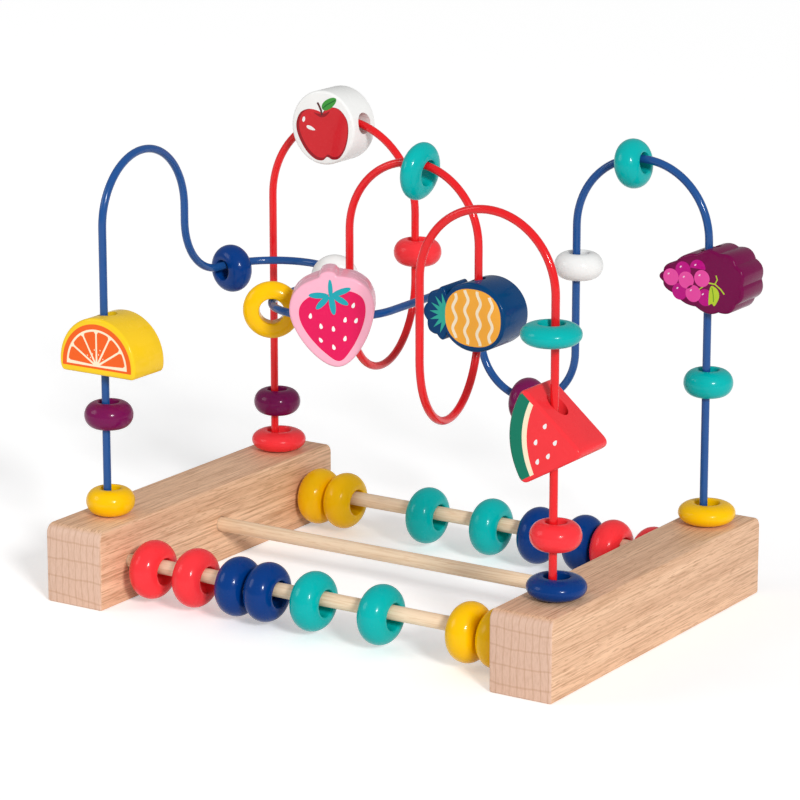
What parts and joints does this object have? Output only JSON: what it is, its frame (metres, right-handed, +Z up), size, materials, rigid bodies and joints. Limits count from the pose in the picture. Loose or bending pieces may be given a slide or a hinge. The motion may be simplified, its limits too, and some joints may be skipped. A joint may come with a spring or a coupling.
{
  "type": "bead maze toy",
  "caption": "Wooden bead maze: beech blocks joined by dowels, two bent coated wires, and loose round beads and fruit-shaped blocks that slide on the dowels and wires.",
  "frame": {"origin": "on the table, midway between the two blocks", "axes": "+X from the left block to the right one along the dowels, +Y from the front to the back, +Z up"},
  "size_m": [0.3009, 0.2036, 0.2377],
  "materials": {
    "beech": "sanded bare beech",
    "dowel_wood": "sanded bare wood",
    "blue_coating": "smooth coated steel wire",
    "red_coating": "smooth coated steel wire",
    "coral_paint": "gloss paint on wood",
    "navy_paint": "gloss paint on wood",
    "teal_paint": "gloss paint on wood",
    "yellow_paint": "gloss paint on wood",
    "purple_paint": "gloss paint on wood",
    "white_paint": "gloss paint on wood",
    "pink_paint": "gloss paint on wood",
    "plum_paint": "gloss paint on wood"
  },
  "bodies": {
    "frame": {"left_block": "beech", "right_block": "beech", "front_dowel": "dowel_wood", "centre_dowel": "dowel_wood", "back_dowel": "dowel_wood", "blue_wire": "blue_coating", "red_wire": "red_coating"},
    "front_coral_1": {"front_coral_bead_1": "coral_paint"},
    "front_coral_2": {"front_coral_bead_2": "coral_paint"},
    "front_blue_1": {"front_blue_bead_1": "navy_paint"},
    "front_blue_2": {"front_blue_bead_2": "navy_paint"},
    "front_teal_1": {"front_teal_bead_1": "teal_paint"},
    "front_teal_2": {"front_teal_bead_2": "teal_paint"},
    "front_yellow_1": {"front_yellow_bead_1": "yellow_paint"},
    "front_yellow_2": {"front_yellow_bead_2": "yellow_paint"},
    "back_yellow_1": {"back_yellow_bead_1": "yellow_paint"},
    "back_yellow_2": {"back_yellow_bead_2": "yellow_paint"},
    "back_teal_1": {"back_teal_bead_1": "teal_paint"},
    "back_teal_2": {"back_teal_bead_2": "teal_paint"},
    "back_blue_1": {"back_blue_bead_1": "navy_paint"},
    "back_blue_2": {"back_blue_bead_2": "navy_paint"},
    "back_coral_1": {"back_coral_bead_1": "coral_paint"},
    "back_coral_2": {"back_coral_bead_2": "coral_paint"},
    "left_front_yellow": {"left_front_yellow_bead": "yellow_paint"},
    "left_front_purple": {"left_front_purple_bead": "purple_paint"},
    "orange": {"orange_block": "yellow_paint"},
    "left_back_coral": {"left_back_coral_ring": "coral_paint"},
    "left_back_purple": {"left_back_purple_bead": "purple_paint"},
    "red_arch_coral": {"red_arch_coral_bead": "coral_paint"},
    "strawberry": {"strawberry_block": "pink_paint"},
    "pineapple": {"pineapple_block": "navy_paint"},
    "right_front_blue": {"right_front_blue_ring": "navy_paint"},
    "right_front_coral": {"right_front_coral_bead": "coral_paint"},
    "watermelon": {"watermelon_block": "coral_paint"},
    "right_front_teal": {"right_front_teal_ring": "teal_paint"},
    "right_back_yellow": {"right_back_yellow_ring": "yellow_paint"},
    "right_back_teal": {"right_back_teal_bead": "teal_paint"},
    "grape": {"grape_block": "plum_paint"},
    "blue_leg_white": {"blue_leg_white_bead": "white_paint"},
    "weave_blue": {"weave_blue_bead": "navy_paint"},
    "weave_white": {"weave_white_bead": "white_paint"},
    "weave_yellow": {"weave_yellow_ring": "yellow_paint"},
    "dip_purple": {"dip_purple_bead": "purple_paint"},
    "blue_arch_teal": {"blue_arch_teal_bead": "teal_paint"},
    "red_arch_teal": {"red_arch_teal_ring": "teal_paint"},
    "apple": {"apple_block": "white_paint"}
  },
  "joints": [
    {"name": "front_coral_1_slide", "type": "slide", "parent": "frame", "child": "front_coral_1", "axis": [1, 0, 0], "range_m": [-0.0059, 0.0104]},
    {"name": "front_coral_2_slide", "type": "slide", "parent": "frame", "child": "front_coral_2", "axis": [1, 0, 0], "range_m": [-0.0104, 0.0099]},
    {"name": "front_blue_1_slide", "type": "slide", "parent": "frame", "child": "front_blue_1", "axis": [1, 0, 0], "range_m": [-0.0099, 0.0014]},
    {"name": "front_blue_2_slide", "type": "slide", "parent": "frame", "child": "front_blue_2", "axis": [1, 0, 0], "range_m": [-0.0014, 0.0115]},
    {"name": "front_teal_1_slide", "type": "slide", "parent": "frame", "child": "front_teal_1", "axis": [1, 0, 0], "range_m": [-0.0115, 0.023]},
    {"name": "front_teal_2_slide", "type": "slide", "parent": "frame", "child": "front_teal_2", "axis": [1, 0, 0], "range_m": [-0.023, 0.0337]},
    {"name": "front_yellow_1_slide", "type": "slide", "parent": "frame", "child": "front_yellow_1", "axis": [1, 0, 0], "range_m": [-0.0337, 0.0009]},
    {"name": "front_yellow_2_slide", "type": "slide", "parent": "frame", "child": "front_yellow_2", "axis": [1, 0, 0], "range_m": [-0.0009, 0.0012]},
    {"name": "back_yellow_1_slide", "type": "slide", "parent": "frame", "child": "back_yellow_1", "axis": [1, 0, 0], "range_m": [-0.001, 0.0006]},
    {"name": "back_yellow_2_slide", "type": "slide", "parent": "frame", "child": "back_yellow_2", "axis": [1, 0, 0], "range_m": [-0.0006, 0.0357]},
    {"name": "back_teal_1_slide", "type": "slide", "parent": "frame", "child": "back_teal_1", "axis": [1, 0, 0], "range_m": [-0.0357, 0.023]},
    {"name": "back_teal_2_slide", "type": "slide", "parent": "frame", "child": "back_teal_2", "axis": [1, 0, 0], "range_m": [-0.023, 0.0128]},
    {"name": "back_blue_1_slide", "type": "slide", "parent": "frame", "child": "back_blue_1", "axis": [1, 0, 0], "range_m": [-0.0128, 0.0109]},
    {"name": "back_blue_2_slide", "type": "slide", "parent": "frame", "child": "back_blue_2", "axis": [1, 0, 0], "range_m": [-0.0109, 0.0006]},
    {"name": "back_coral_1_slide", "type": "slide", "parent": "frame", "child": "back_coral_1", "axis": [1, 0, 0], "range_m": [-0.0006, 0.0074]},
    {"name": "back_coral_2_slide", "type": "slide", "parent": "frame", "child": "back_coral_2", "axis": [1, 0, 0], "range_m": [-0.0074, 0.0059]},
    {"name": "left_front_yellow_slide", "type": "slide", "parent": "frame", "child": "left_front_yellow", "axis": [0, 0, 1], "range_m": [0, 0.0307]},
    {"name": "left_front_purple_slide", "type": "slide", "parent": "frame", "child": "left_front_purple", "axis": [0, 0, 1], "range_m": [-0.0307, 0.0158]},
    {"name": "orange_slide", "type": "slide", "parent": "frame", "child": "orange", "axis": [0, 0, 1], "range_m": [-0.0158, 0.0426]},
    {"name": "left_back_coral_slide", "type": "slide", "parent": "frame", "child": "left_back_coral", "axis": [0, 0, 1], "range_m": [0, 0.0089]},
    {"name": "left_back_purple_slide", "type": "slide", "parent": "frame", "child": "left_back_purple", "axis": [0, 0, 1], "range_m": [-0.0089, 0.1045]},
    {"name": "red_arch_coral_slide", "type": "slide", "parent": "frame", "child": "red_arch_coral", "axis": [0, 0, 1], "range_m": [-0.0068, 0.0136]},
    {"name": "strawberry_turn", "type": "hinge", "parent": "frame", "child": "strawberry", "pos_m": [-0.0325, -0.0105, 0.1485], "axis": [0, 0, 1], "range_deg": [-28, 42]},
    {"name": "pineapple_slide", "type": "slide", "parent": "frame", "child": "pineapple", "axis": [0, 0, 1], "range_m": [-0.009, 0.0144]},
    {"name": "right_front_blue_slide", "type": "slide", "parent": "frame", "child": "right_front_blue", "axis": [0, 0, 1], "range_m": [0, 0.0128]},
    {"name": "right_front_coral_slide", "type": "slide", "parent": "frame", "child": "right_front_coral", "axis": [0, 0, 1], "range_m": [-0.0128, 0.0195]},
    {"name": "watermelon_slide", "type": "slide", "parent": "frame", "child": "watermelon", "axis": [0, 0, 1], "range_m": [-0.0195, 0.021]},
    {"name": "right_front_teal_slide", "type": "slide", "parent": "frame", "child": "right_front_teal", "axis": [0, 0, 1], "range_m": [-0.021, 0.0107]},
    {"name": "right_back_yellow_slide", "type": "slide", "parent": "frame", "child": "right_back_yellow", "axis": [0, 0, 1], "range_m": [0, 0.0542]},
    {"name": "right_back_teal_slide", "type": "slide", "parent": "frame", "child": "right_back_teal", "axis": [0, 0, 1], "range_m": [-0.0542, 0.0298]},
    {"name": "grape_slide", "type": "slide", "parent": "frame", "child": "grape", "axis": [0, 0, 1], "range_m": [-0.0298, 0.0018]},
    {"name": "blue_leg_white_slide", "type": "slide", "parent": "frame", "child": "blue_leg_white", "axis": [0, 0, 1], "range_m": [-0.0372, 0.0138]},
    {"name": "weave_blue_turn", "type": "hinge", "parent": "frame", "child": "weave_blue", "pos_m": [-0.0965, 0.0255, 0.1485], "axis": [0, 0, 1], "range_deg": [-103, 2]},
    {"name": "weave_white_turn", "type": "hinge", "parent": "frame", "child": "weave_white", "pos_m": [-0.0965, 0.0255, 0.1485], "axis": [0, 0, 1], "range_deg": [-20, 103]},
    {"name": "weave_yellow_turn", "type": "hinge", "parent": "frame", "child": "weave_yellow", "pos_m": [-0.0325, -0.0105, 0.1485], "axis": [0, 0, 1], "range_deg": [-24, 28]},
    {"name": "dip_purple_turn", "type": "hinge", "parent": "frame", "child": "dip_purple", "pos_m": [0.027, 0.073, 0.1175], "axis": [0, -1, 0], "range_deg": [-72, 72]},
    {"name": "blue_arch_teal_turn", "type": "hinge", "parent": "frame", "child": "blue_arch_teal", "pos_m": [0.0915, 0.073, 0.1825], "axis": [0, 1, 0], "range_deg": [-60, 76]},
    {"name": "red_arch_teal_turn", "type": "hinge", "parent": "frame", "child": "red_arch_teal", "pos_m": [0.00525, 0, 0.18325], "axis": [0, 1, 0], "range_deg": [-70, 56]},
    {"name": "apple_turn", "type": "hinge", "parent": "frame", "child": "apple", "pos_m": [-0.0845, 0.073, 0.178], "axis": [0, 1, 0], "range_deg": [-50, 66]}
  ]
}
